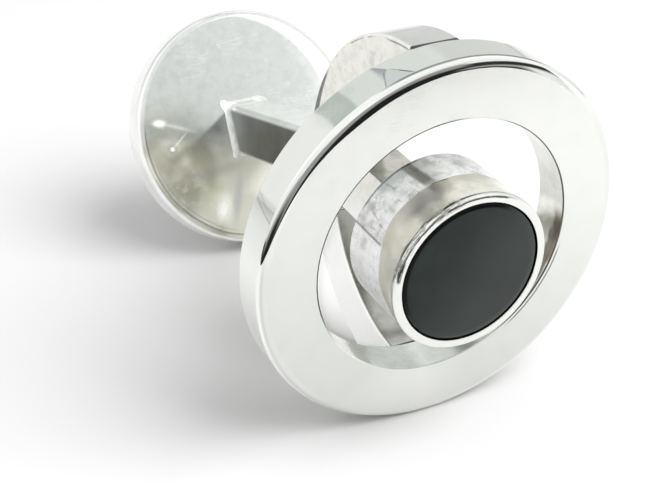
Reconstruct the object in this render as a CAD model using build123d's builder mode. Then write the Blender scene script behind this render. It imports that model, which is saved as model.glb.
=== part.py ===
"""Round cufflink in silver with a flat onyx.

An open front ring carries a sawn bow on its back. A stem runs forward from
the bow and holds the setting in the middle of the ring, and a sloping post
runs backward from it to the toggle disc. All the silver is soldered into one
solid. The onyx is the second solid.

Millimetres, +Z up. The cufflink is drawn as it lies unworn: the front ring
and the toggle disc both touch the surface z = 0, and the front faces -Y.
The origin lies on that surface, under the middle of the bounding box.
"""

from build123d import *

import os
from math import asin, atan2, cos, degrees, hypot, radians, sin

os.makedirs("parts", exist_ok=True)

# Front ring
ring_r = 10.0
hole_r = 6.9
ring_thk = 2.1
ring_edge_r = 0.5

# Bow and stem, sawn from one plate
plate_thk = 2.6
bow_inset = 0.15
bow_hole_inset = 0.1
bow_edge_r = 0.2
stem_height = 3.45

# Post: it leaves the bow a little below the ring's axis
post_clear = 11.0
post_height = 3.0
post_slope = 17.5
post_edge_r = 0.35
post_drop = 0.2

# Toggle disc
disc_r = 7.15
disc_thk = 2.25
disc_dome = 0.2
disc_slope = 29.0
disc_front_edge_r = 0.45
disc_back_edge_r = 0.3

# Stone and setting
stone_r = 3.7
stone_thk = 2.2
stone_bevel = 0.1
stone_gap = 0.06
cup_wall = 0.44
cup_proud = 2.35
cup_rim_bevel = 0.15

# How far a soldered piece runs into its neighbour
solder_lap = 0.8


# Radii that follow from the sizes above
cup_r = stone_r + stone_gap + cup_wall
bow_r = ring_r - bow_inset
bow_hole_r = hole_r + bow_hole_inset
bow_mid_r = (bow_r + bow_hole_r) / 2

# Places and directions in the plane of symmetry, as (back, up) pairs from the
# centre of the ring's front face: back along the ring's axis, and up
post_dir = (cos(radians(post_slope)), -sin(radians(post_slope)))
post_start = (ring_thk + bow_mid_r, -post_drop)
post_length = bow_r - bow_mid_r + post_clear
disc_centre = (
    post_start[0] + post_length * post_dir[0],
    post_start[1] + post_length * post_dir[1],
)
disc_axis = (cos(radians(disc_slope)), -sin(radians(disc_slope)))
disc_up = (sin(radians(disc_slope)), cos(radians(disc_slope)))


def disc_point(depth, height):
    """Point of the toggle disc, by depth from its front and height over its centre."""
    back = disc_centre[0] + depth * disc_axis[0] + height * disc_up[0]
    up = disc_centre[1] + depth * disc_axis[1] + height * disc_up[1]
    return back, up


# Rest slope: the line under the ring's rounded front edge and the disc's
# rounded back edge is the surface that the cufflink lies on
ring_touch = (ring_edge_r, -(ring_r - ring_edge_r))
disc_touch = disc_point(disc_thk - disc_back_edge_r, -(disc_r - disc_back_edge_r))
touch_back = disc_touch[0] - ring_touch[0]
touch_up = disc_touch[1] - ring_touch[1]
touch_turn = asin((disc_back_edge_r - ring_edge_r) / hypot(touch_back, touch_up))
rest_slope = touch_turn - atan2(touch_up, touch_back)


def lying(back, up):
    """Turn a (back, up) pair by the rest slope."""
    return (
        back * cos(rest_slope) - up * sin(rest_slope),
        back * sin(rest_slope) + up * cos(rest_slope),
    )


# Ends of the bounding box front to back, and the height of the ring's centre
y_front = lying(-cup_proud, cup_r - cup_rim_bevel)[0]
y_back = lying(*disc_point(disc_thk - disc_back_edge_r, disc_r - disc_back_edge_r))[0]
y_back += disc_back_edge_r
ring_y = -(y_front + y_back) / 2
ring_z = ring_edge_r - lying(*ring_touch)[1]

# Plane of symmetry: local x runs back along the ring's axis, local y runs up
side_plane = Plane(
    origin=(0, ring_y, ring_z),
    x_dir=(0, cos(rest_slope), sin(rest_slope)),
    z_dir=(1, 0, 0),
)
ring_axis = Axis(side_plane.origin, side_plane.x_dir)

disc_origin = side_plane.from_local_coords((*disc_centre, 0))
disc_back_dir = side_plane.x_dir * disc_axis[0] + side_plane.y_dir * disc_axis[1]
disc_plane = Plane(origin=disc_origin, x_dir=disc_back_dir, z_dir=(1, 0, 0))

post_origin = side_plane.from_local_coords((*post_start, 0))
post_plane = Plane(
    origin=post_origin,
    x_dir=(1, 0, 0),
    z_dir=side_plane.x_dir * post_dir[0] + side_plane.y_dir * post_dir[1],
)

# Front ring: a flat washer whose outer front edge is rounded
with BuildPart() as front_ring:
    with BuildSketch(side_plane) as ring_section:
        with Locations((0, hole_r)):
            Rectangle(ring_thk, ring_r - hole_r, align=(Align.MIN, Align.MIN))
        fillet(ring_section.vertices().sort_by_distance((0, ring_r))[0], ring_edge_r)
    revolve(axis=ring_axis)

# Bow and stem: a half annulus that stands on the ring's back, with a spoke
# that runs forward from its middle to the setting
stem_front = ring_thk - solder_lap
stem_length = bow_hole_r + solder_lap * 2
with BuildPart() as bow:
    with BuildSketch(side_plane) as bow_outline:
        with Locations((ring_thk, 0)):
            Circle(bow_r)
            Circle(bow_hole_r, mode=Mode.SUBTRACT)
            Rectangle(bow_r, bow_r * 2, align=(Align.MIN, Align.CENTER), mode=Mode.INTERSECT)
    extrude(amount=plate_thk / 2, both=True)
    bow_rims = bow.edges().filter_by(GeomType.CIRCLE).group_by(SortBy.RADIUS)[-1]
    fillet(bow_rims, bow_edge_r)
    with BuildSketch(side_plane) as stem_outline:
        with Locations((stem_front, 0)):
            Rectangle(stem_length, stem_height, align=(Align.MIN, Align.CENTER))
    extrude(amount=plate_thk / 2, both=True)

# Setting: a round cup, flush with the ring's back and proud of its front
with BuildPart() as cup:
    with BuildSketch(side_plane) as cup_section:
        with Locations((-cup_proud, 0)):
            Rectangle(cup_proud + ring_thk, cup_r, align=(Align.MIN, Align.MIN))
        chamfer(cup_section.vertices().sort_by_distance((-cup_proud, cup_r))[0], cup_rim_bevel)
        with Locations((-cup_proud, 0)):
            Rectangle(
                stone_thk + stone_gap,
                stone_r + stone_gap,
                align=(Align.MIN, Align.MIN),
                mode=Mode.SUBTRACT,
            )
    revolve(axis=ring_axis)

# Post: a four-sided bar with softened edges, from the bow to the toggle disc
with BuildPart() as post:
    with BuildSketch(post_plane) as post_section:
        RectangleRounded(plate_thk, post_height, post_edge_r)
    extrude(amount=post_length + solder_lap)

# Toggle disc: slightly domed in front, flat behind, with a rounded rim
dome_r = (disc_r**2 + disc_dome**2) / (2 * disc_dome)
with BuildPart() as toggle_disc:
    with BuildSketch(disc_plane) as disc_section:
        with BuildLine() as disc_line:
            RadiusArc((0, 0), (disc_dome, disc_r), dome_r)
            Line((disc_dome, disc_r), (disc_thk, disc_r))
            Line((disc_thk, disc_r), (disc_thk, 0))
            Line((disc_thk, 0), (0, 0))
        make_face()
        front_corner = disc_section.vertices().sort_by_distance((disc_dome, disc_r))[0]
        fillet(front_corner, disc_front_edge_r)
        back_corner = disc_section.vertices().sort_by_distance((disc_thk, disc_r))[0]
        fillet(back_corner, disc_back_edge_r)
    revolve(axis=Axis(disc_plane.origin, disc_plane.x_dir))

# All the soldered silver is one solid
with BuildPart() as silver_frame:
    add(front_ring.part)
    add(bow.part)
    add(cup.part)
    add(toggle_disc.part)
    add(post.part)

# Onyx: a flat disc that fills the cup, level with its rim
with BuildPart() as onyx:
    with BuildSketch(side_plane) as stone_section:
        with Locations((-cup_proud, 0)):
            Rectangle(stone_thk, stone_r, align=(Align.MIN, Align.MIN))
        chamfer(stone_section.vertices().sort_by_distance((-cup_proud, stone_r))[0], stone_bevel)
    revolve(axis=ring_axis)

silver_frame.part.label = "silver_frame"
onyx.part.label = "onyx"

export_step(silver_frame.part, "parts/silver_frame.step")
export_step(onyx.part, "parts/onyx.step")

print("rest slope, degrees:", round(degrees(rest_slope), 3))
print("silver volume, mm3:", round(silver_frame.part.volume, 2))
print("onyx volume, mm3:", round(onyx.part.volume, 2))
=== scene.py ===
"""Round silver cufflink with a flat onyx, lying on a pale floor.

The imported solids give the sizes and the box. The pieces that show are built
again here as surfaces of two parameters, with rounded edges, solder seams and
their own finishes. Metres, +Z up, the ring faces -Y, x = 0 is the plane of
symmetry.
"""

from math import asin, atan2, cos, hypot, pi, radians, sin, sqrt, tan

import bpy
import numpy as np
from mathutils import Matrix, Vector


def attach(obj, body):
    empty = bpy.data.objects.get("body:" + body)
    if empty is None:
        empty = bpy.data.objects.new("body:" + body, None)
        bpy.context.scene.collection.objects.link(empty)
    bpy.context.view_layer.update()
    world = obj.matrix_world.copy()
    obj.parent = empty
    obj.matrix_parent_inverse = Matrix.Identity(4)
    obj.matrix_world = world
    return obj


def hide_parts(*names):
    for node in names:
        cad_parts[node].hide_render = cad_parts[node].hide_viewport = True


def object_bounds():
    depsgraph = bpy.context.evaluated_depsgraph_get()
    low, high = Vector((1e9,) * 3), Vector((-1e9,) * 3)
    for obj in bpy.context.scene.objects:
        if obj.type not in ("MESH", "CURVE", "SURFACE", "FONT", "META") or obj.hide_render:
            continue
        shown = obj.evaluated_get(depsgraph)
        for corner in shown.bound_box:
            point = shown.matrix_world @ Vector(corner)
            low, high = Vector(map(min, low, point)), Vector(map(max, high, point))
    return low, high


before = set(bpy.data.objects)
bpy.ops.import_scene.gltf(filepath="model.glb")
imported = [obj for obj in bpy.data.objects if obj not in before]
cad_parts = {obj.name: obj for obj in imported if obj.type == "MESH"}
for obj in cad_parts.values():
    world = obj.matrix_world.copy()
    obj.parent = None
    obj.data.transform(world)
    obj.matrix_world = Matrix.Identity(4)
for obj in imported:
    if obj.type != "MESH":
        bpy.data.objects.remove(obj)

cad_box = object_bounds()

# Sizes of the cufflink
RING_R = 0.0100
HOLE_R = 0.0069
RING_THK = 0.0021
RING_EDGE_R = 0.0005
PLATE_THK = 0.0026
BOW_R = 0.00985
BOW_HOLE_R = 0.0070
STEM_HEIGHT = 0.00345
POST_HEIGHT = 0.0030
POST_CLEAR = 0.0110
POST_SLOPE = radians(17.5)
POST_DROP = 0.0002
POST_EDGE_R = 0.00035
DISC_R = 0.00715
DISC_THK = 0.00225
DISC_DOME = 0.0002
DISC_SLOPE = radians(29.0)
DISC_FRONT_EDGE_R = 0.00045
DISC_BACK_EDGE_R = 0.0003
CUP_R = 0.0042
CUP_PROUD = 0.00235
STONE_R = 0.0037
STONE_THK = 0.0022
STONE_GAP = 0.00006
SOLDER_LAP = 0.0008

# Soft edges that the plain solids leave out
CRISP = 0.00006
SAWN = 0.00014
SOLDER_FILLET = 0.00045

# How much slimmer than the plate the post is on either side, so that they never
# share a face, and how far it runs into the disc
POST_SHY = 0.00003
POST_INTO_DISC = 0.0005

# Millimetres in a metre
MM = 1000

# Places in the plane of symmetry, as (back, up) from the ring's front centre
BOW_MID_R = (BOW_R + BOW_HOLE_R) / 2
POST_DIR = np.array([cos(POST_SLOPE), -sin(POST_SLOPE)])
POST_UP = np.array([sin(POST_SLOPE), cos(POST_SLOPE)])
POST_START = np.array([RING_THK + BOW_MID_R, -POST_DROP])
POST_LENGTH = BOW_R - BOW_MID_R + POST_CLEAR
DISC_CENTRE = POST_START + POST_LENGTH * POST_DIR
DISC_AXIS = np.array([cos(DISC_SLOPE), -sin(DISC_SLOPE)])
DISC_UP = np.array([sin(DISC_SLOPE), cos(DISC_SLOPE)])


def rest_slope():
    """Slope of the line under the ring's front edge and the disc's back edge."""
    ring_touch = np.array([RING_EDGE_R, RING_EDGE_R - RING_R])
    disc_touch = DISC_CENTRE + (DISC_THK - DISC_BACK_EDGE_R) * DISC_AXIS
    disc_touch = disc_touch - (DISC_R - DISC_BACK_EDGE_R) * DISC_UP
    back, up = disc_touch - ring_touch
    return asin((DISC_BACK_EDGE_R - RING_EDGE_R) / hypot(back, up)) - atan2(up, back)


REST_SLOPE = rest_slope()
BACK = np.array([0.0, cos(REST_SLOPE), sin(REST_SLOPE)])
UP = np.array([0.0, -sin(REST_SLOPE), cos(REST_SLOPE)])
RIGHT = np.array([1.0, 0.0, 0.0])


def ring_centre():
    """Centre of the ring's front face: its height from the ring's rim, its y from the CAD box."""
    height = RING_EDGE_R + (RING_R - RING_EDGE_R) * cos(REST_SLOPE) - RING_EDGE_R * sin(REST_SLOPE)
    edge_back = DISC_CENTRE + (DISC_THK - DISC_BACK_EDGE_R) * DISC_AXIS
    back, up = edge_back + (DISC_R - DISC_BACK_EDGE_R) * DISC_UP
    reach = back * cos(REST_SLOPE) - up * sin(REST_SLOPE) + DISC_BACK_EDGE_R
    return np.array([0.0, cad_box[1][1] - reach, height])


RING_CENTRE = ring_centre()


def placed(x, back, up):
    """Ring coordinates (x, back, up), any shape of arrays, as points of the row frame."""
    x, back, up = np.broadcast_arrays(x, back, up)
    return RING_CENTRE + x[..., None] * RIGHT + back[..., None] * BACK + up[..., None] * UP


def turned_dir(x, back, up):
    """Ring coordinates of a direction as a direction of the row frame."""
    x, back, up = np.broadcast_arrays(x, back, up)
    return x[..., None] * RIGHT + back[..., None] * BACK + up[..., None] * UP


def arc_chain(arcs):
    """Points and outward normals along a chain of arcs joined by straight runs.

    Each arc is (centre, radius, first angle, last angle, steps), with angles in
    degrees. A point is the centre plus the radius along the angle. The normal
    is that direction, or its opposite on a hollow arc, whose radius is negative.
    """
    points, normals = [], []
    for centre, radius, first, last, steps in arcs:
        angle = np.radians(np.linspace(first, last, steps + 1))
        ray = np.stack([np.cos(angle), np.sin(angle)], -1)
        points.append(np.asarray(centre) + abs(radius) * ray)
        normals.append(np.sign(radius) * ray)
    return np.concatenate(points), np.concatenate(normals)


def grid_faces(rows, columns, wrap_rows, wrap_columns):
    """Quads of a grid of rows x columns points, closed round either way where it wraps."""
    row = np.arange(rows if wrap_rows else rows - 1)
    column = np.arange(columns if wrap_columns else columns - 1)
    r, c = np.meshgrid(row, column, indexing="ij")
    r1, c1 = (r + 1) % rows, (c + 1) % columns
    quad = np.stack([r * columns + c, r * columns + c1, r1 * columns + c1, r1 * columns + c], -1)
    return quad.reshape(-1, 4)


def in_scene(name, data):
    """Object from its data, at the origin of the scene."""
    piece = bpy.data.objects.new(name, data)
    bpy.context.scene.collection.objects.link(piece)
    return piece


def surface(name, vertices, normals, faces):
    """Mesh object from arrays, with the exact normals of its formula."""
    mesh = bpy.data.meshes.new(name)
    mesh.from_pydata(vertices.reshape(-1, 3).tolist(), [], [list(f) for f in faces])
    mesh.polygons.foreach_set("use_smooth", np.ones(len(mesh.polygons), bool))
    mesh.normals_split_custom_set_from_vertices(normals.reshape(-1, 3).tolist())
    mesh.update()
    return in_scene(name, mesh)


def lathe(name, profile, normals, steps, frame_of=None, closed=False):
    """Profile of (depth, radius) turned about an axis: the point at angle a is
    depth along the axis plus radius along cos(a) sideways and sin(a) up. Ends
    that lie on the axis are closed by one pole each. A closed profile may also
    hold one pair for each angle."""
    angle = np.linspace(0, 2 * pi, steps, endpoint=False)
    origin, along, up = frame_of or (np.zeros(2), np.array([1.0, 0.0]), np.array([0.0, 1.0]))

    def spun(pairs, is_place):
        if pairs.ndim == 2:
            pairs = pairs[:, None]
        depth, radius = pairs[..., 0], pairs[..., 1]
        x = radius * np.cos(angle)
        rise = radius * np.sin(angle)
        back = depth * along[0] + rise * up[0]
        height = depth * along[1] + rise * up[1]
        if is_place:
            return placed(x, back + origin[0], height + origin[1])
        return turned_dir(x, back, height)

    if closed:
        v, n = spun(profile, True), spun(normals, False)
        faces = grid_faces(len(profile), steps, True, True)
        return surface(name, v, n, faces)
    body, body_normals = profile[1:-1], normals[1:-1]
    v, n = spun(body, True).reshape(-1, 3), spun(body_normals, False).reshape(-1, 3)
    poles = spun(profile[[0, -1]], True)[:, 0]
    pole_normals = spun(normals[[0, -1]], False)[:, 0]
    quads = grid_faces(len(body), steps, False, True).tolist()
    first, last = len(v), len(v) + 1
    base = (len(body) - 1) * steps
    ring = np.arange(steps)
    after = (ring + 1) % steps
    start = np.stack([np.full(steps, first), after, ring], -1).tolist()
    end = np.stack([np.full(steps, last), base + ring, base + after], -1).tolist()
    v, n = np.concatenate([v, poles]), np.concatenate([n, pole_normals])
    return surface(name, v, n, quads + start + end)


# How far the hand-polished edge runs in over the face, by angle, and how deep
# the edge is where it was polished flatter, in metres
EDGE_ANGLES = (0, 50, 66, 75, 85, 95, 105, 115, 124, 131, 138, 148, 165, 180)
EDGE_RUNS = np.array([0, 0, 10, 40, 90, 130, 170, 200, 220, 120, 50, 20, 10, 0]) / 1e6
FLAT_EDGE_DEPTH = 0.0002


def front_ring():
    """Flat washer turned about the ring's axis. Its front edge is part of an
    ellipse: for t from s to 90 degrees, depth e (cos s - cos t) / cos s and
    radius R - w (1 - sin t) / (1 - sin s). The width w is the edge radius plus a
    run read off the table by angle, and the depth e is shallow above and at the
    left, where the ring was polished flatter, and the full edge radius below.
    The other three corners are rounded by quarter circles. The start s makes a
    crisp crease between the face and the edge; "face" is 1 on the flat front."""
    steps = 256
    angle = np.degrees(np.linspace(0, 2 * pi, steps, endpoint=False))
    around = (angle + 1.2 * np.arange(-4, 5)[:, None]) % 360
    wide = RING_EDGE_R + np.mean(np.interp(around, EDGE_ANGLES, EDGE_RUNS), 0)
    flat = np.clip((angle - 28) / 30, 0, 1) * np.clip((212 - angle) / 30, 0, 1)
    deep = RING_EDGE_R - (RING_EDGE_R - FLAT_EDGE_DEPTH) * flat * flat * (3 - 2 * flat)
    first = radians(16)
    turn = np.linspace(first, pi / 2, 24)[:, None]
    high, long = deep / cos(first), wide / (1 - sin(first))
    depth = high * (cos(first) - np.cos(turn))
    radius = RING_R - long * (1 - np.sin(turn))
    edge = np.stack([depth, radius], -1)
    edge_normals = np.stack([-np.cos(turn) / high, np.sin(turn) / long], -1)
    edge_normals /= np.linalg.norm(edge_normals, axis=-1, keepdims=True)
    crease = edge[:1] - (0.0, 0.000003)
    edge = np.concatenate([crease, edge])
    edge_normals = np.concatenate([np.broadcast_to((-1.0, 0.0), crease.shape), edge_normals])
    points, normals = arc_chain([
        ((RING_THK - SAWN, RING_R - SAWN), SAWN, 90, 0, 6),
        ((RING_THK - CRISP, HOLE_R + CRISP), CRISP, 0, -90, 5),
        ((CRISP, HOLE_R + CRISP), CRISP, -90, -180, 5),
    ])
    spread = np.ones((1, steps, 1))
    profile = np.concatenate([edge, points[:, None] * spread])
    facing = np.concatenate([edge_normals, normals[:, None] * spread])
    ring = lathe("front_ring", profile[::-1], facing[::-1], steps, closed=True)
    is_face = np.zeros((len(profile), steps))
    is_face[[0, -1]] = 1.0
    share = ring.data.attributes.new("face", "FLOAT", "POINT")
    share.data.foreach_set("value", is_face[::-1].ravel())
    return ring


def toggle_disc():
    """Disc turned about its own axis: flat behind, rounded rim, and a front that
    is part of a sphere, whose arc runs into the rim's arc."""
    front, back = DISC_FRONT_EDGE_R, DISC_BACK_EDGE_R
    dome_r = (DISC_R**2 + DISC_DOME**2) / (2 * DISC_DOME)
    reach = np.degrees(asin((DISC_R - front) / (dome_r - front)))
    front_depth = dome_r - sqrt((dome_r - front) ** 2 - (DISC_R - front) ** 2)
    points, normals = arc_chain([
        ((DISC_THK, 0.0), 0.0, 0, 0, 0),
        ((DISC_THK - back, DISC_R - back), back, 0, 90, 8),
        ((front_depth, DISC_R - front), front, 90, 180 - reach, 14),
        ((dome_r, 0.0), dome_r, 180 - reach, 180, 40),
    ])
    normals[0] = (1, 0)
    return lathe("toggle_disc", points, normals, 256, (DISC_CENTRE, DISC_AXIS, DISC_UP))


def cup():
    """Setting: a closed cup turned about the ring's axis. Round the stone it has
    a flat land, a rounded lip, and a small step down to the wall behind."""
    front, seat = -CUP_PROUD, -CUP_PROUD + STONE_THK + STONE_GAP
    inner = STONE_R + STONE_GAP
    lip, step = 0.00013, 0.00005
    wall_r = CUP_R - step
    points, normals = arc_chain([
        ((RING_THK, 0.0), 0.0, 0, 0, 0),
        ((RING_THK - SAWN, wall_r - SAWN), SAWN, 0, 90, 6),
        ((front + 2 * lip + step, wall_r + step), -step, 270, 180, 5),
        ((front + lip, CUP_R - lip), lip, 60, 180, 14),
        ((front + CRISP / 2, inner + CRISP / 2), CRISP / 2, 180, 270, 4),
        ((seat, inner), 0.0, 270, 270, 0),
        ((seat, inner), 0.0, 180, 180, 0),
        ((seat, 0.0), 0.0, 180, 180, 0),
    ])
    normals[0] = (1, 0)
    normals[-3:] = [(0, -1), (-1, 0), (-1, 0)]
    return lathe("cup", points, normals, 192)


def onyx_stone():
    """Flat disc with a broad soft edge: the front falls away over the last
    half millimetre by a share of a circle, then turns down into the cup."""
    front = -CUP_PROUD
    soft_r = 0.0016
    soft_turn = 13.0
    edge_r = 0.00012
    start = STONE_R - edge_r - (soft_r - edge_r) * sin(radians(soft_turn))
    drop = (soft_r - edge_r) * (1 - cos(radians(soft_turn)))
    points, normals = arc_chain([
        ((front + STONE_THK, 0.0), 0.0, 0, 0, 0),
        ((front + STONE_THK - CRISP, STONE_R - CRISP), CRISP, 0, 90, 4),
        ((front + drop + edge_r, STONE_R - edge_r), edge_r, 90, 180 - soft_turn, 6),
        ((front + soft_r, start), soft_r, 180 - soft_turn, 180, 12),
        ((front, 0.0), 0.0, 180, 180, 0),
    ])
    normals[0], normals[-1] = (1, 0), (-1, 0)
    return lathe("onyx_stone", points, normals, 192)


def bow_outline():
    """Outline of the sawn plate, upper half as arcs and runs, lower half mirrored."""
    half = STEM_HEIGHT / 2
    fillet = SOLDER_FILLET
    centre_back = RING_THK + sqrt((BOW_HOLE_R - fillet) ** 2 - (half + fillet) ** 2)
    turn = np.degrees(atan2(half + fillet, centre_back - RING_THK))
    foot = SAWN * 1.1
    inner = sqrt(BOW_HOLE_R**2 - foot**2)
    outer = sqrt((BOW_R - foot) ** 2 - foot**2)
    last = np.degrees(atan2(outer, foot))
    arcs = [
        ((RING_THK - SOLDER_LAP + foot, half - foot), foot, 180, 90, 3),
        ((centre_back, half + fillet), -fillet, 270, 360 + turn, 10),
        ((RING_THK, 0.0), -BOW_HOLE_R, turn, np.degrees(atan2(inner, foot)), 60),
        ((RING_THK + foot, inner + foot), foot, -90, -180, 5),
        ((RING_THK + foot, outer), foot, 180, last, 5),
        ((RING_THK, 0.0), BOW_R, last, 0, 96),
    ]
    points, normals = arc_chain(arcs)
    flip = np.array([1.0, -1.0])
    points = np.concatenate([points, points[-2::-1] * flip])
    return points, np.concatenate([normals, normals[-2::-1] * flip])


def bow_and_stem():
    """Plate cut to its outline: each outline point is carried round a quarter
    circle on either edge, and the two flat sides close it."""
    outline, outward = bow_outline()
    half, edge = PLATE_THK / 2, SAWN
    points, normals = arc_chain([
        ((half - edge, -edge), edge, 0, 90, 6),
        ((edge - half, -edge), edge, 90, 180, 6),
    ])
    x, out = points[:, 0], points[:, 1]
    spots = outline[None] + out[:, None, None] * outward[None]
    facing = normals[:, 1, None, None] * outward[None]
    v = placed(x[:, None], spots[..., 0], spots[..., 1])
    n = turned_dir(normals[:, 0, None], facing[..., 0], facing[..., 1])
    rows, columns = v.shape[:2]
    faces = grid_faces(rows, columns, False, True).tolist()
    right_side = np.arange(columns)[::-1].tolist()
    left_side = ((rows - 1) * columns + np.arange(columns)).tolist()
    return surface("bow_and_stem", v, n, faces + [right_side, left_side])


def post():
    """Rounded rectangle carried along the post's axis. Its last stretch spreads
    by a quarter circle into the solder at the disc. The solder is 0.46 of the
    fillet wide, plus a bell curve of 0.9 round the upper left corner and one of
    0.5 round the lower left corner."""
    half_x, half_up, edge = PLATE_THK / 2 - POST_SHY, POST_HEIGHT / 2, POST_EDGE_R
    section, outward = arc_chain([
        ((half_x - edge, half_up - edge), edge, 0, 90, 8),
        ((edge - half_x, half_up - edge), edge, 90, 180, 8),
        ((edge - half_x, edge - half_up), edge, 180, 270, 8),
        ((half_x - edge, edge - half_up), edge, 270, 360, 8),
    ])
    fillet = SOLDER_FILLET
    turn = np.radians(np.linspace(0, 90, 13))
    spread = np.concatenate([[0.0, 0.0], fillet * (1 - np.cos(turn)), [fillet]])
    solder = fillet * (1 - np.sin(turn))
    before_end = np.concatenate([[POST_LENGTH, POST_LENGTH / 2], solder, [-POST_INTO_DISC]])
    lean = np.concatenate([[0.0, 0.0], np.sin(turn), [1.0]])
    facing = np.degrees(np.arctan2(outward[:, 1], outward[:, 0])) % 360
    upper_left = np.exp(-(((facing - 140) / 24) ** 2))
    lower_left = np.exp(-(((facing - 222) / 20) ** 2))
    run = 0.46 + 0.9 * upper_left + 0.5 * lower_left
    across = section[None, :, 0] + spread[:, None] * run * outward[None, :, 0]
    rise = section[None, :, 1] + spread[:, None] * run * outward[None, :, 1]
    tilt = tan(DISC_SLOPE - POST_SLOPE)
    end = POST_LENGTH + rise * tilt
    before_end = before_end[:, None]
    is_solder = before_end < 2 * fillet
    reach = end - before_end * np.where(is_solder, run, 1.0) * end / POST_LENGTH
    back = POST_START[0] + reach * POST_DIR[0] + rise * POST_UP[0]
    up = POST_START[1] + reach * POST_DIR[1] + rise * POST_UP[1]
    flat = np.cos(np.arcsin(lean))[:, None]
    nx = outward[None, :, 0] * flat
    nr = outward[None, :, 1] * flat
    nl = -lean[:, None] * np.ones_like(nx)
    n = turned_dir(nx, nl * POST_DIR[0] + nr * POST_UP[0], nl * POST_DIR[1] + nr * POST_UP[1])
    v = placed(across, back, up)
    rows, columns = v.shape[:2]
    faces = grid_faces(rows, columns, False, True)[:, ::-1].tolist()
    start_cap = np.arange(columns).tolist()
    end_cap = ((rows - 1) * columns + np.arange(columns))[::-1].tolist()
    return surface("post", v, n, faces + [start_cap, end_cap])


class Value:
    """A number, colour or place that the nodes work out at every spot."""

    def __init__(self, nodes, socket):
        self.nodes = nodes
        self.socket = socket

    def __add__(self, other):
        return self.nodes.math("ADD", self, other)

    def __radd__(self, other):
        return self.nodes.math("ADD", other, self)

    def __sub__(self, other):
        return self.nodes.math("SUBTRACT", self, other)

    def __rsub__(self, other):
        return self.nodes.math("SUBTRACT", other, self)

    def __mul__(self, other):
        return self.nodes.math("MULTIPLY", self, other)

    def __truediv__(self, other):
        return self.nodes.math("DIVIDE", self, other)

    def __abs__(self):
        return self.nodes.math("ABSOLUTE", self)

    def step(self, low, high):
        """Smooth rise from 0 at low to 1 at high; it falls where low is over high."""
        if low > high:
            return 1.0 - self.step(high, low)
        sockets = {0: self, 1: low, 2: high}
        return self.nodes.node("ShaderNodeMapRange", sockets, interpolation_type="SMOOTHSTEP")

    def between(self, low, high, soft):
        """1 between low and high, with soft edges that wide."""
        return self.step(low - soft, low + soft) * self.step(high + soft, high - soft)


class Nodes:
    """Short calls for a node tree: each returns the value that it made."""

    def __init__(self, tree):
        self.tree = tree

    def feed(self, socket, value):
        """Link a value to a socket, or set a plain number or colour on it."""
        if isinstance(value, Value):
            self.tree.links.new(value.socket, socket)
        elif value is not None:
            socket.default_value = value

    def node(self, kind, inputs=(), output=0, **settings):
        """New node with its settings and inputs: the value of one of its outputs."""
        node = self.tree.nodes.new(kind)
        for key, value in settings.items():
            setattr(node, key, value)
        for key, value in dict(inputs).items():
            self.feed(node.inputs[key], value)
        return Value(self, node.outputs[output])

    def parts(self, place):
        """The three numbers of a place."""
        first = self.node("ShaderNodeSeparateXYZ", {0: place})
        return [Value(self, socket) for socket in first.socket.node.outputs]

    def math(self, operation, a, b=None):
        return self.node("ShaderNodeMath", {0: a, 1: b}, operation=operation)

    def dot(self, place, direction):
        sockets = {0: place, 1: tuple(direction)}
        return self.node("ShaderNodeVectorMath", sockets, "Value", operation="DOT_PRODUCT")

    def most(self, *values):
        """The largest of the values at every spot."""
        largest = values[0]
        for value in values[1:]:
            largest = self.math("MAXIMUM", largest, value)
        return largest

    def length(self, a, b):
        """Long side of the right triangle with the sides a and b."""
        return self.math("SQRT", a * a + b * b)

    def tone(self, colour):
        """Colour as a socket takes it. A single number is a grey."""
        if isinstance(colour, float):
            colour = (colour, colour, colour)
        return (*colour, 1.0) if isinstance(colour, tuple) else colour

    def mix(self, share, a, b):
        """Colour a where the share is 0, colour b where it is 1."""
        sockets = {0: share, 6: self.tone(a), 7: self.tone(b)}
        return self.node("ShaderNodeMix", sockets, 2, data_type="RGBA")

    def blend(self, share, a, b):
        """Number a where the share is 0, number b where it is 1."""
        return self.node("ShaderNodeMix", {0: share, 2: a, 3: b}, data_type="FLOAT")


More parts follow.
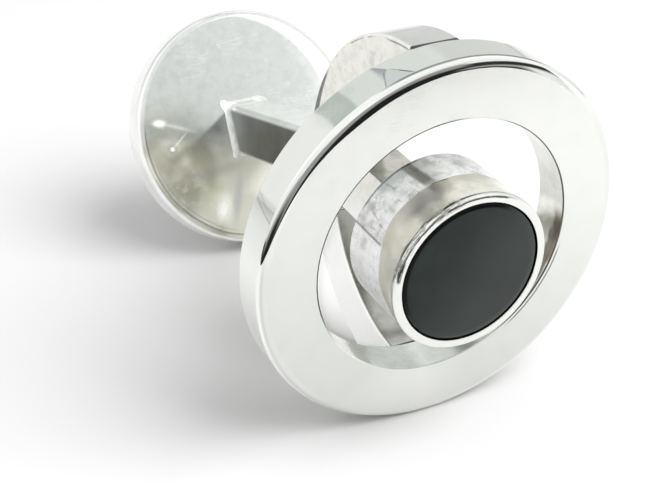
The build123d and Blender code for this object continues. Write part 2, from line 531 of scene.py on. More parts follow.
class Finish(Nodes):
    """A metal or stone finish under way: its nodes, its colour so far, the spot
    on the cufflink in millimetres (x, back from the ring's front, up from its
    axis), and the polar coordinates round the ring's axis in degrees: angle runs
    from the right, over_left from the left."""

    def __init__(self, name):
        self.material = bpy.data.materials.new(name)
        self.material.use_nodes = True
        super().__init__(self.material.node_tree)
        self.shader = self.tree.nodes["Principled BSDF"]
        turn = Matrix.Rotation(-REST_SLOPE, 3, "X")
        self.spot = self.node("ShaderNodeMapping", {
            "Vector": self.node("ShaderNodeTexCoord", output="Object"),
            "Location": tuple(turn @ Vector(RING_CENTRE) * -MM),
            "Rotation": (-REST_SLOPE, 0, 0),
            "Scale": (MM, MM, MM),
        })
        self.x, self.back, self.up = self.parts(self.spot)
        self.radius = self.length(self.x, self.up)
        self.angle = self.math("ARCTAN2", self.up, self.x) * (180 / pi)
        self.over_left = self.math("ARCTAN2", self.up, self.x * -1.0) * (180 / pi)

    def noise(self, scale, detail=3.0, roughness=0.55, spot=None, distortion=0.0):
        """Clouds from 0 to 1, on the plain spot or on another one."""
        return self.node("ShaderNodeTexNoise", {
            "Vector": spot or self.spot,
            "Scale": scale,
            "Detail": detail,
            "Roughness": roughness,
            "Distortion": distortion,
        })

    def stretched(self, turn, scale):
        """The spot turned by degrees and scaled, for patterns that run one way."""
        turn = tuple(radians(t) for t in turn)
        return self.node("ShaderNodeMapping", {"Vector": self.spot, "Rotation": turn, "Scale": scale})

    def mottle(self, clean, stained, scale, amount):
        """Colour that drifts between two tones in soft patches and fine grain."""
        patch = self.noise(scale, 4, 0.6).step(0.38, 0.72)
        grain = self.noise(scale * 9, 3, 0.7).step(0.45, 0.75)
        return self.mix((patch * 0.7 + grain * 0.3) * amount, clean, stained)

    def hairlines(self, turn):
        """Fine polishing lines: stretched noise cut to thin ridges, in patches."""
        lines = self.noise(1.0, 2, 0.6, spot=self.stretched(turn, (0.5, 14, 14)))
        return abs(lines - 0.5).step(0.018, 0.004) * self.noise(0.5, 2).step(0.5, 0.65)

    def pits(self, scale, size, cover):
        """Small round pits at the middles of scattered cells, in patches."""
        sway = self.node("ShaderNodeTexNoise", {"Vector": self.spot, "Scale": 3.0}, "Color")
        bent = self.node("ShaderNodeVectorMath", {0: self.spot, 1: sway}, operation="ADD")
        away = self.node("ShaderNodeTexVoronoi", {"Vector": bent, "Scale": scale}, "Distance")
        return away.step(size, size * 0.4) * self.noise(scale * 0.35, 2).step(cover, cover + 0.08)

    def tint(self, share, tone):
        """Lay a tone over the colour so far, by its share."""
        self.colour = self.mix(share, self.colour, tone)

    def finish(self, roughness, height, metallic=1.0):
        """The finished material. The height is a bump, in millimetres."""
        self.feed(self.shader.inputs["Base Color"], self.colour)
        self.feed(self.shader.inputs["Roughness"], roughness)
        self.feed(self.shader.inputs["Metallic"], metallic)
        bump = self.node("ShaderNodeBump", {"Strength": 1.0, "Distance": 1 / MM, "Height": height})
        self.feed(self.shader.inputs["Normal"], bump)
        return self.material


# Tones that more than one finish uses
BROWN = (0.30, 0.26, 0.20)
# Black of seams, cracks and dark lines, and of painted dark reflections on polished edges
BLACK_LINES_AND_REFLECTIONS = (0.045, 0.043, 0.042)


def ring_silver():
    """Satin face, painted lighter towards its upper right and darker towards its
    foot as painted light and shade; mirror-polished rounded edge and outer wall
    with a painted highlight and painted dark reflections; tarnished hole wall with
    a painted bright reflection and painted dark reflection lines along its front edge."""
    f = Finish("ring_silver")
    face = f.node("ShaderNodeAttribute", output="Fac", attribute_name="face").step(0.85, 0.98)
    hole = f.radius.step(6.97, 6.93)
    f.colour = f.mottle((0.815, 0.832, 0.792), (0.775, 0.8, 0.76), 0.55, 0.8)
    # Painted light: the face is painted lighter towards its upper right and darker towards its foot.
    climb = (f.up + f.x * 0.35).step(-11.0, 9.5)
    lit = f.mix(climb, (0.71, 0.72, 0.69), (0.9, 0.905, 0.875))
    lit = f.mottle(lit, f.mix(climb, (0.655, 0.69, 0.65), (0.845, 0.875, 0.83)), 0.8, 1.0)
    f.tint(face, lit)
    # Hole wall: tarnish, painted darker and greyer along its lower part, with a near-white painted
    # reflection at its lower left.
    hole_tarnish_and_painted_light = f.mottle((0.8, 0.81, 0.78), (0.6, 0.585, 0.49), 0.8, 0.9)
    under = f.angle.between(-125, -55, 8)
    hole_tarnish_and_painted_light = f.mix(under * 0.8, hole_tarnish_and_painted_light, f.mottle((0.7, 0.73, 0.7), (0.5, 0.54, 0.52), 0.9, 1.0))
    hole_tarnish_and_painted_light = f.mix(f.over_left.between(-52, -20, 5) * 0.9, hole_tarnish_and_painted_light, (0.93, 0.94, 0.92))
    f.tint(hole * 0.85, hole_tarnish_and_painted_light)
    # Painted light: the face is painted lighter just above its foot.
    painted_light_above_foot = face * f.angle.between(-116, -84, 14)
    f.tint(painted_light_above_foot * 0.6, (0.87, 0.875, 0.85))
    specks = f.pits(2.2, 0.08, 0.64) * face
    f.tint(specks * 0.5, BROWN)
    edge = f.back.step(0.12, 0.04)
    upper_left = f.x.step(1.2, -0.6) * f.up.step(-4.2, -1.5)
    right_side = f.x.step(2.2, 3.4) * f.up.step(-6.2, -5.0)
    ragged = f.noise(1.6, 3) * 0.05
    # Painted reflection: thin dark lines on the hole's rounded front edge, at its upper left and its
    # right.
    bevel = (f.radius + ragged).between(6.89, 7.01, 0.012) * edge
    f.tint(bevel * upper_left * 0.97, BLACK_LINES_AND_REFLECTIONS)
    bevel = (f.radius + ragged * 0.7).between(6.885, 6.97, 0.012) * edge
    f.tint(bevel * right_side * 0.9, BLACK_LINES_AND_REFLECTIONS)
    lip_line = (f.radius + ragged).between(7.1, 7.19, 0.015) * edge * f.angle.between(-52, -14, 4)
    f.tint(lip_line * 0.85, 0.1)
    second = (f.back + ragged).between(0.27, 0.34, 0.015) * hole * f.angle.between(-58, -8, 5)
    f.tint(second * 0.85, BLACK_LINES_AND_REFLECTIONS)
    streak = f.noise(0.8, 3, spot=f.stretched((0, 0, 0), (1, 3, 1)))
    stain = hole * f.angle.between(-32, 2, 5) * (f.back + streak * 0.9).between(0.45, 1.15, 0.15)
    f.tint(stain * 0.9, (0.2, 0.175, 0.14))
    # Painted highlight: the outer part of the polished rounded edge is painted brighter than the silver,
    # along the top and upper left.
    polished = f.radius.step(9.0, 9.2) * f.back.step(0.22, 0.14) * (1.0 - face)
    f.tint(polished * f.angle.between(58, 157, 7) * 0.85, (0.945, 0.955, 0.93))
    rim_at = f.back - f.angle * 0.0038 - f.angle * f.angle * 0.000055
    rim_shade = rim_at.between(0.13, 0.3, 0.04) * f.radius.step(9.6, 9.7) * f.angle.between(-24, 58, 9)
    f.tint(rim_shade * 0.7, (0.52, 0.52, 0.55))
    # Painted light and shade at the lower left: the rounded edge darker with a grey line, the outer wall
    # lighter.
    low_left = f.over_left.between(-62, 9, 5) * f.radius.step(9.3, 9.4) * (1.0 - face)
    f.tint(low_left * f.radius.step(9.9, 9.84) * 0.7, (0.71, 0.72, 0.69))
    f.tint(low_left * f.radius.between(9.74, 9.86, 0.05) * 0.4, (0.5, 0.51, 0.5))
    f.tint(low_left * f.radius.step(9.86, 9.92) * 0.75, (0.91, 0.92, 0.89))
    # Painted reflections on the outer wall just left of the top: a blue-grey patch, a darker wedge and
    # dark hook and curl lines.
    sky = f.radius.step(9.95, 9.99) * f.back.step(0.17, 0.22)
    slant = f.angle - f.back * 4.0
    rise_left = f.angle + f.back * 4.84
    curl_at = f.angle + f.back * 2.6
    below = slant.step(102.4, 102.9) * sky
    wedge = below * rise_left.step(114.2, 114.8) * f.angle.step(111.8, 110.2)
    patch = below * rise_left.step(114.8, 114.2) * curl_at.step(112.7, 112.3)
    f.tint(patch * 0.4, (0.52, 0.58, 0.6))
    f.tint(wedge * (0.5 + slant.step(106.5, 103.0) * 0.4), (0.38, 0.38, 0.43))
    thick = f.back.between(0.28, 0.85, 0.12)
    hook = (slant - thick * 0.12).between(102.2, 102.7, 0.2) * f.back.between(0.25, 1.25, 0.15)
    hook = hook * (0.45 + thick * 0.55)
    curl = curl_at.between(112.42, 112.78, 0.2) * f.back.between(0.2, 1.2, 0.1)
    f.tint(f.most(hook, curl * 0.6) * 0.9, BLACK_LINES_AND_REFLECTIONS)
    # Painted reflection: a dark line where the rounded edge meets the outer wall, along the top.
    edge_wall_dark_reflection = f.back.between(0.13, 0.2, 0.02) * f.radius.step(9.9, 9.95) * f.angle.between(62, 112, 5)
    f.tint(edge_wall_dark_reflection * 0.8, 0.12)
    wobble = f.noise(0.9, 2) * 1.6
    ripple = (f.angle + wobble + f.back * 1.55).between(159.75, 160.3, 0.3)
    fainter = (f.angle + wobble + f.back * 2.05).between(158.6, 159.3, 0.5)
    ripple = f.most(ripple, fainter * 0.35) * sky * f.back.step(2.0, 1.6)
    f.tint(ripple * 0.6, (0.36, 0.37, 0.36))
    off_edge = f.most(face, f.radius.step(9.2, 9.0), f.back.step(0.4, 0.6))
    rough = f.blend(face, f.blend(hole, 0.025, 0.12), 0.2)
    rough = rough + f.noise(1.2, 3) * f.blend(face, 0.03, 0.06)
    height = f.noise(0.22, 1) * f.blend(f.back.step(0.2, 2.0), 0.004, 0.018)
    height = height + f.noise(14, 2) * f.blend(face, 0.00004, 0.00035)
    height = height - f.hairlines((0, 20, 35)) * off_edge * 0.0006 - specks * 0.008
    low_wall = low_left * f.radius.step(9.9, 9.96) * f.up.step(-1.5, -5.5)
    return f.finish(rough, height, f.blend(low_wall, 1.0, 0.3))


def bow_silver():
    """Sawn plate: cream satin sides with brown pits, painted near white low down as
    painted light, and painted dark reflection lines along their polished bevel; a
    greyer outer face, a dark solder seam at its feet and tarnish inside."""
    f = Finish("bow_silver")
    side = abs(f.x).step(1.22, 1.28)
    centre_back = f.back - RING_THK * MM
    reach = f.length(centre_back, f.up)
    inner = reach.step(7.3, 7.05)
    outer = reach.step(9.6, 9.8)
    plain = f.mottle((0.8, 0.81, 0.79), (0.69, 0.715, 0.69), 0.7, 1.0)
    low = f.up.step(1.0, -2.0)
    sawn = f.mottle((0.94, 0.935, 0.885), (0.79, 0.78, 0.705), 1.5, 1.0)
    # Painted light: the sides are painted near white low down.
    sawn = f.mix(low, sawn, f.mottle((0.99, 0.99, 0.98), (0.95, 0.96, 0.94), 0.9, 1.0))
    f.colour = f.mix(side, plain, sawn)
    tarnish = f.mix(f.noise(0.7, 3).step(0.35, 0.65), (0.53, 0.535, 0.5), (0.36, 0.365, 0.335))
    inner_face = inner * (1.0 - side)
    f.tint(inner_face * 0.9, tarnish)
    stem = reach.step(6.6, 6.4) * f.up.step(1.66, 1.71)
    f.tint(stem, f.mottle((0.72, 0.71, 0.66), (0.42, 0.41, 0.37), 0.9, 1.0))
    spots = f.pits(2.4, 0.26, 0.44) * side * f.up.step(0.0, 2.0)
    f.tint(spots * 0.35, (0.5, 0.44, 0.38))
    smears = f.noise(1.7, 4, 0.75, spot=f.stretched((35, 0, 0), (1, 1, 0.6)))
    smears = smears.step(0.53, 0.68) * side * f.up.step(1.0, 3.0) * reach.step(9.6, 9.3)
    f.tint(smears * 0.5, (0.58, 0.54, 0.48))
    # Painted reflections: dark lines along the sides' rounded outer edge, at the top and near the ring.
    line = reach.between(9.655, 9.71, 0.015) * side * f.up.between(6.4, 10.0, 0.3)
    broken = f.noise(0.8, 3).step(0.46, 0.54)
    f.tint(line * broken * 0.75, (0.16, 0.15, 0.14))
    heel = (reach - f.up * 0.1).step(9.02, 9.1) * reach.step(9.76, 9.7) * side
    heel = heel * f.up.between(1.7, 5.2, 0.5)
    near_ring = reach.between(9.6, 9.69, 0.02) * side * f.back.between(2.5, 4.3, 0.3)
    near_ring = near_ring * f.up.step(0.0, 1.0)
    f.tint(f.most(heel, near_ring * 0.75) * 0.85, 0.09)
    seam = outer * (f.back + f.noise(1.4, 2) * 0.05).step(2.465, 2.435)
    foot = f.most(seam, f.back.step(2.22, 2.14) * reach.step(7.0, 7.1))
    inside_seam = inner_face * f.back.step(2.34, 2.26)
    f.tint(f.most(foot, inside_seam) * 0.96, BLACK_LINES_AND_REFLECTIONS)
    rough = f.blend(side, f.blend(outer, 0.16, 0.1), 0.42)
    rough = rough + f.noise(1.5, 3) * 0.06
    height = f.noise(0.3, 1) * 0.016 + f.noise(11, 3) * f.blend(side, 0.0001, 0.001)
    height = height - spots * 0.012 - f.hairlines((40, 0, 0)) * 0.0006
    return f.finish(rough, height, f.blend(side, 1.0, f.blend(low, 0.5, 0.1)))


def cup_silver():
    """Bright land and lip with a rough dark seam between them, a smooth cream and
    olive front zone that is a painted reflection of the ring, and a pitted back
    zone of tarnish and painted reflection, with darker runs."""
    f = Finish("cup_silver")
    wall = f.back.step(-2.14, -2.08)
    border = f.back + f.over_left.step(42, -1) * 0.6 + f.over_left.step(2, -28) * 0.9
    behind = border.step(-0.22, -0.17)
    bright = f.mottle((0.86, 0.87, 0.84), (0.76, 0.78, 0.75), 0.9, 0.6)
    # Front zone: a painted reflection of the ring, cream and olive, darker olive near the border, with a
    # dark plum patch.
    near_border = (border + f.noise(0.8, 3) * 0.8).step(-0.9, 0.1)
    front = f.mottle((0.9, 0.885, 0.82), (0.62, 0.6, 0.52), 0.9, 1.0)
    front = f.mix(near_border * 0.8, front, (0.5, 0.49, 0.4))
    drift = f.noise(0.9, 3) - 0.5
    plum = (f.angle + drift * 26).between(106, 134, 9) * (f.back + drift * 1.4).between(-1.35, -0.1, 0.4)
    front = f.mix(plum * 0.75, front, (0.38, 0.37, 0.37))
    # Back zone: tarnish and a painted reflection of the ring's inner edges, mottled grey, lighter at the
    # left, with darker runs and marks.
    back_tarnish_and_painted_reflection = f.mottle((0.85, 0.86, 0.84), (0.34, 0.35, 0.345), 1.7, 0.95)
    back_tarnish_and_painted_reflection = f.mix(f.over_left.step(20.0, 19.0) * 0.55, back_tarnish_and_painted_reflection, (0.93, 0.93, 0.92))
    run = (f.angle - f.back * 1.6).between(103, 111, 1.2) * f.back.step(-0.3, 0.3)
    back_tarnish_and_painted_reflection = f.mix(run * 0.85, back_tarnish_and_painted_reflection, (0.22, 0.215, 0.2))
    grey = f.angle.between(113, 134, 1.5) * f.back.between(1.35, 2.3, 0.12)
    back_tarnish_and_painted_reflection = f.mix(grey * 0.6, back_tarnish_and_painted_reflection, (0.46, 0.5, 0.48))
    ridge = f.angle.between(158.9, 160.3, 0.35) * f.back.step(-0.5, -0.3)
    back_tarnish_and_painted_reflection = f.mix(ridge * 0.8, back_tarnish_and_painted_reflection, 0.2)
    smudge = (f.angle + drift * 8).between(164, 173, 2) * (f.back + drift * 0.8).between(0.75, 1.1, 0.2)
    back_tarnish_and_painted_reflection = f.mix(smudge * 0.6, back_tarnish_and_painted_reflection, 0.34)
    f.colour = f.mix(wall, bright, f.mix(behind, front, back_tarnish_and_painted_reflection))
    crack = (f.back - f.angle * 0.012).between(-1.46, -1.4, 0.02) * f.angle.between(95.5, 107, 1.0)
    f.tint(crack * 0.9, BLACK_LINES_AND_REFLECTIONS)
    scores = f.noise(1.3, 4, 0.7, spot=f.stretched((0, 0, 0), (3.2, 0.9, 3.2)))
    marks = scores.step(0.55, 0.68) * behind * f.angle.between(112, 159, 6)
    f.tint(marks * 0.6, (0.22, 0.21, 0.2))
    flecks = f.pits(5.0, 0.22, 0.5) * behind
    f.tint(flecks * 0.3, (0.3, 0.29, 0.28))
    chatter = f.noise(4.5, 3, 0.7) * 0.1
    rough_side = f.angle.between(66, 172.5, 2) * f.back.step(-1.9, -2.0)
    broken = f.noise(1.1, 3).step(0.37, 0.46)
    inner_line = (f.radius + chatter).between(4.075, 4.155, 0.015) * f.back.step(-2.15, -2.22)
    inner_line = inner_line * rough_side * broken
    outer_line = (f.back + chatter).between(-2.13, -2.01, 0.02) * f.angle.between(88, 173, 2)
    outer_line = outer_line * f.radius.step(4.0, 4.1)
    torn = f.noise(2.2, 3).step(0.4, 0.5)
    f.tint(inner_line * 0.95, BLACK_LINES_AND_REFLECTIONS)
    f.tint(outer_line * torn * 0.85, BLACK_LINES_AND_REFLECTIONS)
    sockets = {0: f.angle * 0.09, 1: f.radius * 6.5, 2: f.back * 6.5}
    round_rim = f.node("ShaderNodeCombineXYZ", sockets)
    grooves = f.noise(1.0, 3, 0.7, spot=round_rim).step(0.47, 0.57) * rough_side
    grooves = grooves * f.radius.between(3.93, 4.22, 0.03) * f.angle.step(92, 112)
    f.tint(grooves * 0.75, (0.17, 0.165, 0.16))
    burr = (f.radius + chatter).between(4.0, 4.19, 0.03) * f.angle.between(158, 172, 2.5) * rough_side
    f.tint(burr * f.noise(1.6, 3, spot=round_rim).step(0.43, 0.52) * 0.95, BLACK_LINES_AND_REFLECTIONS)
    foot = f.back.between(1.86, 1.98, 0.03) * f.angle.between(100, 150, 6)
    f.tint(foot * 0.7, BLACK_LINES_AND_REFLECTIONS)
    rough = f.blend(wall, 0.07, f.blend(behind, 0.14, 0.24))
    rough = rough + f.noise(2.0, 3) * 0.08
    height = f.noise(0.4, 2) * 0.012 + f.noise(6, 4) * (behind * 0.0026)
    height = height - marks * 0.004 - flecks * 0.006 - inner_line * 0.006 - grooves * 0.004
    height = height - f.hairlines((0, 60, 20)) * 0.0008
    return f.finish(rough, height, f.blend(wall, 1.0, f.blend(behind, 0.8, 0.65)))


def post_silver():
    """Light top, smooth dark side faces, and edges and solder at the disc painted
    bright as painted highlights."""
    f = Finish("post_silver")
    from_start = f.back - POST_START[0] * MM
    over_start = f.up - POST_START[1] * MM
    along = from_start * POST_DIR[0] + over_start * POST_DIR[1]
    rise = from_start * POST_UP[0] + over_start * POST_UP[1]
    end = POST_LENGTH * MM
    side = abs(f.x).step(1.05, 1.25) * rise.between(-1.28, 1.25, 0.12)
    side = side * (along - rise * 0.2).step(end - 0.12, end - 0.75)
    dark = f.mix(f.noise(0.6, 2).step(0.3, 0.7), (0.125, 0.13, 0.13), (0.17, 0.175, 0.175))
    dark = f.mix(along.step(end - 3.0, end - 0.5), dark, (0.27, 0.285, 0.275))
    top = f.mottle((0.72, 0.735, 0.71), (0.62, 0.64, 0.615), 0.8, 1.0)
    # Painted highlights: the rounded edges, the underside and the solder at the disc are painted near
    # white, the solder with greyer clots and a greyer middle.
    bright = f.most(along.step(end - 0.75, end - 0.45), rise.step(1.42, 1.18))
    solder = along.step(end - 0.75, end - 0.25)
    clots = f.noise(1.3, 2).step(0.36, 0.62) * f.x.step(-1.5, -1.2)
    sunk = f.x.between(-0.8, 0.55, 0.25) * rise.step(1.3, 1.6) * 1.3
    shine = f.mix(solder * f.most(clots, sunk), (0.96, 0.965, 0.95), (0.56, 0.575, 0.56))
    f.colour = f.mix(side, f.mix(bright, top, shine), dark)
    rough = f.blend(side, 0.14, 0.26) + f.noise(1.5, 2) * 0.06 + solder * 0.22
    height = f.noise(0.35, 2) * 0.022 + f.noise(8, 3) * 0.0004 + f.noise(1.1, 1) * (solder * 0.03)
    height = height - f.hairlines((0, 0, 60)) * 0.0008
    return f.finish(rough, height, f.blend(solder, 1.0, f.blend(f.x.step(-1.2, -1.45), 0.5, 0.15)))


def disc_silver():
    """Light grey upper half with fine mottling, painted lighter towards the right
    and darker at its lower left; cloudy olive and cream below, of tarnish and
    painted reflection, with small painted highlights; and a wall painted bright,
    with painted reflection lines along the rim."""
    f = Finish("disc_silver")
    out_back = f.back - DISC_CENTRE[0] * MM
    out_up = f.up - DISC_CENTRE[1] * MM
    depth = out_back * DISC_AXIS[0] + out_up * DISC_AXIS[1]
    rise = out_back * DISC_UP[0] + out_up * DISC_UP[1]
    reach = f.length(f.x, rise)
    front = depth.step(0.32, 0.24)
    rear = depth.step(2.18, 2.24)

    def spot_at(across, up, turn, long, wide, soft):
        """1 inside an oval of the disc's front, by its place, turn and half axes."""
        c, s = cos(radians(turn)), sin(radians(turn))
        u = f.x * (c / long) + rise * (s / long) - (across * c + up * s) / long
        v = f.x * (-s / wide) + rise * (c / wide) + (across * s - up * c) / wide
        return f.length(u, v).step(1.0 + soft, 1.0 - soft) * front

    wander = f.noise(0.45, 3) * 2.4
    low = front * (rise + wander + f.x * 0.16).step(1.3, -0.4)
    # Painted light: the upper half is painted lighter towards the right.
    across = (f.x + rise * 0.3).step(-5.0, 4.5)
    clean = f.mix(across, (0.77, 0.79, 0.765), (0.87, 0.885, 0.87))
    upper = f.mottle(clean, f.mix(across, (0.655, 0.68, 0.66), (0.77, 0.8, 0.78)), 1.8, 1.0)
    cloud = f.noise(0.38, 1.5, 0.45, spot=f.stretched((0, 25, 0), (1.0, 1.0, 0.7)), distortion=0.3)
    # Painted shade: the upper half is painted darker at its lower left.
    painted_shade_low_left = rise.step(3.0, 0.6) * f.x.step(-1.5, -4.5)
    upper = f.mix(painted_shade_low_left * 0.55, upper, (0.48, 0.5, 0.47))
    # The lower half, named tarnish here, is tarnish and a painted reflection of the floor and the ring's
    # back: cloudy cream and olive, with dark patches, a lighter part towards the right and dark leaf and
    # stripe marks.
    tarnish = f.mix(cloud.step(0.38, 0.62), (0.76, 0.75, 0.655), (0.43, 0.42, 0.32))
    dull = spot_at(-5.5, -1.6, -55, 1.9, 0.75, 0.7)
    tarnish = f.mix(dull * 0.75, tarnish, f.mottle((0.42, 0.41, 0.32), (0.24, 0.235, 0.18), 1.9, 1.0))
    blots = f.noise(1.2, 3, 0.65).step(0.36, 0.6)
    veil = spot_at(-4.85, -2.75, 0, 1.3, 1.3, 0.8) * (0.45 + blots * 0.5)
    tarnish = f.mix(veil, tarnish, (0.25, 0.245, 0.18))
    clear = (f.x + wander * 0.3).step(-3.1, -1.9)
    tarnish = f.mix(clear * 0.42, tarnish, (0.93, 0.925, 0.84))
    leaf = spot_at(-2.9, -2.35, 8, 1.4, 0.32, 0.9)
    stripe = spot_at(-1.75, -4.2, 72, 1.2, 0.26, 0.8)
    tarnish = f.mix(leaf * 0.55, tarnish, (0.32, 0.33, 0.3))
    tarnish = f.mix(stripe * 0.7, tarnish, (0.4, 0.42, 0.44))
    # Painted light: the rim's wall is painted near white.
    wall = reach.step(6.98, 7.06)
    f.colour = f.mix(low * 0.92, f.mix(front, (0.93, 0.94, 0.92), upper), tarnish)
    f.tint(wall, f.mottle((0.95, 0.955, 0.94), (0.84, 0.85, 0.825), 0.5, 1.0))
    # Painted reflections: a grey line along the upper rim and dark outlines along the lower left of the
    # front's rounded edge.
    rim_line = (depth + f.noise(0.5, 2) * 0.06).between(0.36, 0.58, 0.06) * wall * rise.step(1.5, 5.0)
    f.tint(rim_line * 0.7, (0.42, 0.44, 0.43))
    uneven = reach + f.noise(0.6, 2) * 0.12
    outline = uneven.between(6.74, 6.83, 0.03) * rise.step(1.6, 0.2) * f.x.step(0.5, -2.0)
    second_line = uneven.between(6.52, 6.57, 0.03) * rise.step(-0.8, -2.0) * f.x.step(-1.5, -3.0)
    f.tint(f.most(outline, second_line * 0.6) * 0.75, (0.2, 0.205, 0.195))
    # Painted reflections and highlights: a dark knot and a dark halo, and near-white painted highlights:
    # a blob, a tail, a dot, a glow, a crescent at the upper right and a thin glint line.
    knot = spot_at(-4.9, -0.95, 30, 0.55, 0.3, 0.8)
    f.tint(knot * 0.6, (0.26, 0.26, 0.2))
    blob = spot_at(-5.7, 1.2, -12, 0.36, 0.2, 0.8)
    tail = spot_at(-4.7, 0.8, -24, 1.0, 0.11, 0.9)
    dot = spot_at(-5.23, -0.46, 0, 0.12, 0.12, 0.5)
    halo = spot_at(-5.23, -0.46, 0, 0.3, 0.3, 0.35)
    glow = spot_at(-2.8, -4.65, 70, 0.62, 0.34, 0.9)
    off_centre = f.length(f.x + 1.2, rise - 0.2) + f.noise(0.7, 2) * 0.3
    crescent = off_centre.step(6.78, 7.04) * front * rise.step(0.6, 2.6) * reach.step(6.78, 6.72)
    painted_glint_line = spot_at(-4.65, -0.02, 38, 0.7, 0.05, 0.8)
    f.tint(halo * 0.4, (0.3, 0.3, 0.26))
    bright = f.most(blob, dot, tail * 0.35, painted_glint_line * 0.4, glow * 0.9, crescent * 0.95)
    f.tint(bright, (1.0, 1.0, 0.99))
    specks = f.pits(3.0, 0.13, 0.5) * front
    f.tint(specks * 0.25, BROWN)
    used = f.noise(1.0, 4, 0.65, spot=f.stretched((0, 35, 0), (2.5, 2.5, 0.5)))
    used = rear * used.step(0.42, 0.62)
    f.tint(rear * 0.8, f.mix(used, (0.86, 0.87, 0.84), (0.7, 0.705, 0.67)))
    rough = f.blend(front, f.blend(rear, 0.08, 0.17), f.blend(low, 0.09, 0.15))
    rough = rough + f.noise(1.3, 3) * 0.05 + bright * 0.15 + used * 0.06
    height = f.noise(0.3, 2) * f.blend(front, 0.008, 0.03) + cloud * (low * 0.006)
    height = height + f.noise(7, 3) * 0.0004 - f.hairlines((0, 35, 0)) * 0.0012 - specks * 0.004
    covered = spot_at(-4.7, -2.4, 25, 1.7, 1.0, 0.7) * 0.4
    wall_metal = f.blend(rise.step(-1.0, -4.5), 0.55, 0.15)
    metal = f.blend(wall, f.blend(low, 1.0, 0.78), wall_metal)
    metal = metal - f.most(bright * 0.45, covered, clear * low * 0.3)
    return f.finish(rough, height, metal)


def black_onyx():
    """Polished black stone with a breath of green-grey and faint wiping marks. It
    has a painted sheen, glossier towards the lower right, and painted shade, darker
    and less glossy in a thin border at the top left."""
    f = Finish("black_onyx")
    f.colour = f.mix(f.noise(0.5, 3).step(0.3, 0.7), (0.0045, 0.0085, 0.0072), (0.0075, 0.0125, 0.0108))
    wiped = f.hairlines((0, 50, 0))
    rough = 0.045 + f.noise(0.7, 3) * 0.05 + wiped * 0.05
    height = f.noise(0.25, 1) * 0.004 - wiped * 0.0002
    f.shader.inputs["IOR"].default_value = 1.4
    # Painted shade: a thin border at the top left is darker and reflects less; painted sheen: the stone
    # reflects more towards the lower right.
    border = f.radius.step(3.43, 3.53) * (f.up - f.x * 0.9).step(0.5, 2.6)
    sheen = (f.x * 0.8 - f.up * 0.5).step(-2.6, 2.6)
    f.feed(f.shader.inputs["Specular IOR Level"], f.blend(border, f.blend(sheen, 0.34, 0.74), 0.1))
    f.tint(border, 0.004)
    return f.finish(rough, height, metallic=0.0)


def dress(piece, material, node):
    """Give a piece its finish and its body, and hide the solid that it stands for."""
    piece.data.materials.append(material)
    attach(piece, "root")
    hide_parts(node)


# Camera: place from the ring's front centre, turns in radians, focal length as a
# share of the picture's width, and sensor width in millimetres
CAMERA_FROM_RING = np.array([-3.239, -4.953, 3.318]) * RING_R
CAMERA_TURN = 0.4890
CAMERA_FALL = 0.5143
CAMERA_ROLL = -0.0099
FOCAL_SHARE = 1400 / 670
SENSOR = 36.0

# Grey of the floor
FLOOR_TONE = 0.55


def matt_board(name, corners, faces):
    """Board of the stage from its corners, with its nodes and its colour's socket."""
    mesh = bpy.data.meshes.new(name)
    mesh.from_pydata(corners, [], faces)
    material = bpy.data.materials.new(name)
    material.use_nodes = True
    mesh.materials.append(material)
    shader = material.node_tree.nodes["Principled BSDF"]
    shader.inputs["Roughness"].default_value = 0.9
    shader.inputs["Specular IOR Level"].default_value = 0.1
    return in_scene(name, mesh), Nodes(material.node_tree), shader.inputs["Base Color"]


def studio_floor():
    """Pale matt floor, one metre each way."""
    corners = [(-1, -1, 0), (1, -1, 0), (1, 1, 0), (-1, 1, 0)]
    floor, net, colour = matt_board("floor", corners, [(0, 1, 2, 3)])
    net.feed(colour, net.tone(FLOOR_TONE))


def compass(azimuth, elevation):
    """Unit vector: azimuth in degrees from the front (-Y) towards +X."""
    a, e = radians(azimuth), radians(elevation)
    return Vector((sin(a) * cos(e), -cos(a) * cos(e), sin(e)))


def tent_panel(net, direction, azimuth, elevation, wide, high, soft):
    """1 inside a rectangle of the tent seen at an azimuth and elevation, 0 outside."""
    centre = compass(azimuth, elevation)
    side = Vector((centre.y, -centre.x, 0)).normalized()
    rise = side.cross(centre)
    ahead = net.dot(direction, centre)
    facing = net.most(ahead, 0.001)
    across = abs(net.dot(direction, side) / facing)
    height = abs(net.dot(direction, rise) / facing)
    half_wide, half_high = tan(radians(wide / 2)), tan(radians(high / 2))
    inside = across.step(half_wide + soft, half_wide - soft)
    inside = inside * height.step(half_high + soft, half_high - soft)
    return inside * net.math("GREATER_THAN", ahead, 0.0)


# Panels of the tent: azimuth, elevation, width and height in degrees, soft edge, tone
TENT_WHITE = 1.0
TENT = [
    (-75, 38, 55, 45, 0.2, 1.12),
    (142, 14, 30, 38, 0.08, (0.77, 0.78, 0.77)),
    (178, 42, 46, 26, 0.08, (0.84, 0.86, 0.85)),
    (-142, -1, 44, 5, 0.02, 0.80),
    (-160, 38, 9, 22, 0.012, (0.58, 0.62, 0.61)),
    (155, 54, 56, 6, 0.02, 0.25),
    (12, -14, 84, 22, 0.06, 0.34),
    (44, 38, 24, 44, 0.03, 1.22),
    (21, 31, 22, 18, 0.02, (0.84, 0.86, 0.85)),
]


def light_tent():
    """White tent round the table, with a few grey and brighter panels."""
    world = bpy.data.worlds.new("light_tent")
    bpy.context.scene.world = world
    world.use_nodes = True
    net = Nodes(world.node_tree)
    direction = net.node("ShaderNodeTexCoord", output="Generated")
    colour = TENT_WHITE
    for *panel, tone in TENT:
        colour = net.mix(tent_panel(net, direction, *panel), colour, tone)
    net.feed(world.node_tree.nodes["Background"].inputs["Color"], colour)


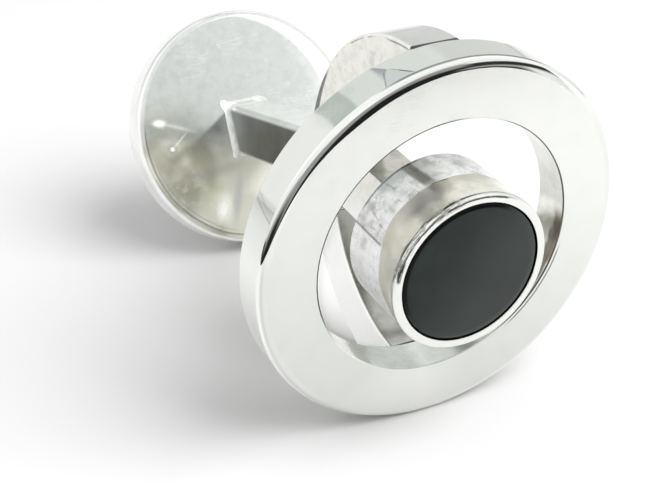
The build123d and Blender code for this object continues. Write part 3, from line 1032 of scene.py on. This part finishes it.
def lamp(name, kind, energy, target, towards, distance):
    """Lamp that shines on a target from a direction. Polished faces don't show it."""
    data = bpy.data.lights.new(name, kind)
    data.energy = energy
    piece = in_scene(name, data)
    aim = towards.to_track_quat("Z", "Y").to_matrix().to_4x4()
    piece.matrix_world = Matrix.Translation(target + towards * distance) @ aim
    piece.visible_glossy = False
    return data


def key_light():
    """Large soft light from the right and above."""
    target, towards = Vector((0, 0, 0)), compass(azimuth=42, elevation=52)
    data = lamp("key_light", "AREA", energy=3.6, target=target, towards=towards, distance=0.5)
    data.shape = "SQUARE"
    data.size = 0.40


# Foot of the dark card just over the floor, from left to right, and its top
CARD_FOOT = (
    (-0.060, -0.023), (-0.030, -0.030), (-0.010, -0.0345), (-0.004, -0.0375),
    (0.004, -0.043), (0.012, -0.0465), (0.024, -0.048), (0.048, -0.047),
)
CARD_FOOT_HEIGHT = 0.0001
CARD_TOP = 0.018


def dark_card():
    """Low bent card in front of the table, black at its foot, grey and then white
    above, with a black streak at its right end: only the polish sees it."""
    count = len(CARD_FOOT)
    corners = [(x, y, z) for z in (CARD_FOOT_HEIGHT, CARD_TOP) for x, y in CARD_FOOT]
    faces = [(count + k, count + k + 1, k + 1, k) for k in range(count - 1)]
    card, net, card_colour = matt_board("dark_card", corners, faces)
    place = net.parts(net.node("ShaderNodeTexCoord", output="Object"))
    x, height = place[0] * MM, place[2] * MM
    rising = height - x * 0.2
    colour = net.mix(rising.step(10.5, 14.0), 0.32, 1.0)
    low_right = (height - x * 0.55).step(6.4, 3.6) * height.step(11.0, 8.5)
    colour = net.mix(low_right, colour, 0.012)
    lifted = height + x.step(-12, -20) * 2.5
    left = net.mix(lifted.step(3.9, 9.0), 0.015, 0.46)
    left = net.mix(lifted.step(9.6, 12.2), left, 1.0)
    end = net.mix(height.step(5.0, 8.0), 0.09, 1.0)
    left = net.mix(x.step(-22, -28), left, end)
    colour = net.mix(x.step(-5.0, -10.0), colour, left)
    right = net.mix(height.step(4.3, 6.3), 0.02, 0.36)
    right = net.mix(x.step(31, 36) * height.step(10, 7), right, 0.9)
    streak = abs(height - x * 0.2 - 5.4)
    right = net.mix(streak.step(3.7, 2.5), right, 0.03)
    right = net.mix(rising.step(8.6, 10.5), right, 1.0)
    colour = net.mix(x.step(20, 24), colour, right)
    net.feed(card_colour, colour)
    card.visible_camera = card.visible_diffuse = card.visible_shadow = False


# Place that the snoot points at, from the ring's front centre: right, back, up
SNOOT_TARGET = (-0.0013, 0.0078, -0.0076)


def snoot():
    """Narrow lamp from the camera's side that brightens the bow's left side and
    the floor behind the ring's lower left, as the polished ring does."""
    target = Vector(placed(*SNOOT_TARGET))
    towards = (Vector(RING_CENTRE + CAMERA_FROM_RING) - target).normalized()
    data = lamp("snoot", "SPOT", energy=4.0, target=target, towards=towards, distance=0.3)
    data.spot_size = radians(1.15)
    data.spot_blend = 0.7
    data.shadow_soft_size = 0.004


def photo_camera():
    """Camera of the photo: its axis is turned to the right and down from +Y, and
    its right side is level but for a small roll."""
    data = bpy.data.cameras.new("camera")
    data.sensor_width = SENSOR
    data.lens = SENSOR * FOCAL_SHARE
    data.clip_start = 0.001
    flat = cos(CAMERA_FALL)
    ahead = Vector((sin(CAMERA_TURN) * flat, cos(CAMERA_TURN) * flat, -sin(CAMERA_FALL)))
    level = Vector((cos(CAMERA_TURN), -sin(CAMERA_TURN), 0.0))
    down = ahead.cross(level)
    right = level * cos(CAMERA_ROLL) + down * sin(CAMERA_ROLL)
    down = ahead.cross(right)
    turn = Matrix((right, -down, -ahead)).transposed().to_4x4()
    camera = in_scene("camera", data)
    camera.matrix_world = Matrix.Translation(Vector(RING_CENTRE + CAMERA_FROM_RING)) @ turn
    bpy.context.scene.camera = camera


dress(front_ring(), ring_silver(), "silver_frame")
dress(bow_and_stem(), bow_silver(), "silver_frame")
dress(cup(), cup_silver(), "silver_frame")
dress(post(), post_silver(), "silver_frame")
dress(toggle_disc(), disc_silver(), "silver_frame")
dress(onyx_stone(), black_onyx(), "onyx")

studio_floor()
light_tent()
key_light()
dark_card()
snoot()
bpy.context.scene.view_settings.view_transform = "Standard"
photo_camera()
